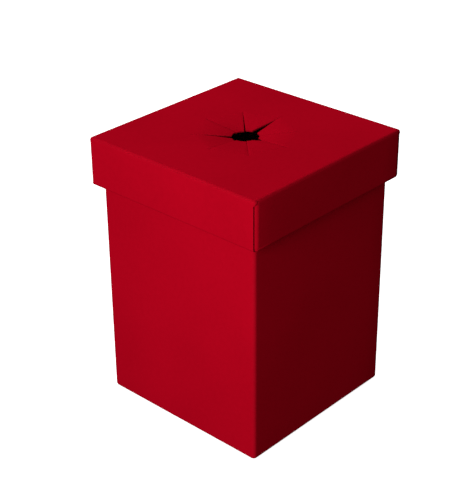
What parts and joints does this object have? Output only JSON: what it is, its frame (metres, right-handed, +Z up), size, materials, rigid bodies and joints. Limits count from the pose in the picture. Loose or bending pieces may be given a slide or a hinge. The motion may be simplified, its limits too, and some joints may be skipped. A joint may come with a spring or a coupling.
{
  "type": "drop box",
  "caption": "Square folded-board drop box with a telescoping lift-off lid, rolled hems and a springy star-cut hole in the middle of the lid.",
  "frame": {"origin": "middle of the underside of the base, on the surface the box stands on", "axes": "+Z up out of the lid; -Y the front, whose lid skirt has free ends; +X the right side, whose lid skirt wraps the corners"},
  "size_m": [0.271, 0.271, 0.363],
  "materials": {
    "red_board": "satin"
  },
  "bodies": {
    "base": {"base_front_wall": "red_board", "base_right_wall": "red_board", "base_back_wall": "red_board", "base_left_wall": "red_board", "base_glue_flap": "red_board", "base_floor_flap_front": "red_board", "base_floor_flap_back": "red_board", "base_floor_flap_left": "red_board", "base_floor_flap_right": "red_board"},
    "lid": {"lid_top_panel": "red_board", "lid_front_skirt": "red_board", "lid_right_skirt": "red_board", "lid_back_skirt": "red_board", "lid_left_skirt": "red_board", "lid_front_hem": "red_board", "lid_right_hem": "red_board", "lid_back_hem": "red_board", "lid_left_hem": "red_board", "lid_tuck_flap_front_left": "red_board", "lid_tuck_flap_front_right": "red_board", "lid_tuck_flap_back_right": "red_board", "lid_tuck_flap_back_left": "red_board"},
    "petal_1": {"lid_petal_1": "red_board"},
    "petal_2": {"lid_petal_2": "red_board"},
    "petal_3": {"lid_petal_3": "red_board"},
    "petal_4": {"lid_petal_4": "red_board"},
    "petal_5": {"lid_petal_5": "red_board"},
    "petal_6": {"lid_petal_6": "red_board"},
    "petal_7": {"lid_petal_7": "red_board"},
    "petal_8": {"lid_petal_8": "red_board"}
  },
  "joints": [
    {"name": "lid_lift", "type": "slide", "parent": "base", "child": "lid", "axis": [0, 0, 1], "range_m": [0, 0.15]},
    {"name": "petal_1_bend", "type": "hinge", "parent": "lid", "child": "petal_1", "pos_m": [0.05761, 0.02387, 0.361], "axis": [0.3827, -0.9239, 0], "range_deg": [-6, 69], "stiffness_Nm_per_rad": 0.15},
    {"name": "petal_2_bend", "type": "hinge", "parent": "lid", "child": "petal_2", "pos_m": [0.02387, 0.05761, 0.361], "axis": [0.9239, -0.3827, 0], "range_deg": [-8, 67], "stiffness_Nm_per_rad": 0.15},
    {"name": "petal_3_bend", "type": "hinge", "parent": "lid", "child": "petal_3", "pos_m": [-0.02387, 0.05761, 0.361], "axis": [0.9239, 0.3827, 0], "range_deg": [-7, 68], "stiffness_Nm_per_rad": 0.15},
    {"name": "petal_4_bend", "type": "hinge", "parent": "lid", "child": "petal_4", "pos_m": [-0.05761, 0.02387, 0.361], "axis": [0.3827, 0.9239, 0], "range_deg": [-7, 68], "stiffness_Nm_per_rad": 0.15},
    {"name": "petal_5_bend", "type": "hinge", "parent": "lid", "child": "petal_5", "pos_m": [-0.05761, -0.02387, 0.361], "axis": [-0.3827, 0.9239, 0], "range_deg": [-6, 69], "stiffness_Nm_per_rad": 0.15},
    {"name": "petal_6_bend", "type": "hinge", "parent": "lid", "child": "petal_6", "pos_m": [-0.02387, -0.05761, 0.361], "axis": [-0.9239, 0.3827, 0], "range_deg": [-7, 68], "stiffness_Nm_per_rad": 0.15},
    {"name": "petal_7_bend", "type": "hinge", "parent": "lid", "child": "petal_7", "pos_m": [0.02387, -0.05761, 0.361], "axis": [-0.9239, -0.3827, 0], "range_deg": [-5, 70], "stiffness_Nm_per_rad": 0.15},
    {"name": "petal_8_bend", "type": "hinge", "parent": "lid", "child": "petal_8", "pos_m": [0.05761, -0.02387, 0.361], "axis": [-0.3827, -0.9239, 0], "range_deg": [-5, 70], "stiffness_Nm_per_rad": 0.15}
  ]
}
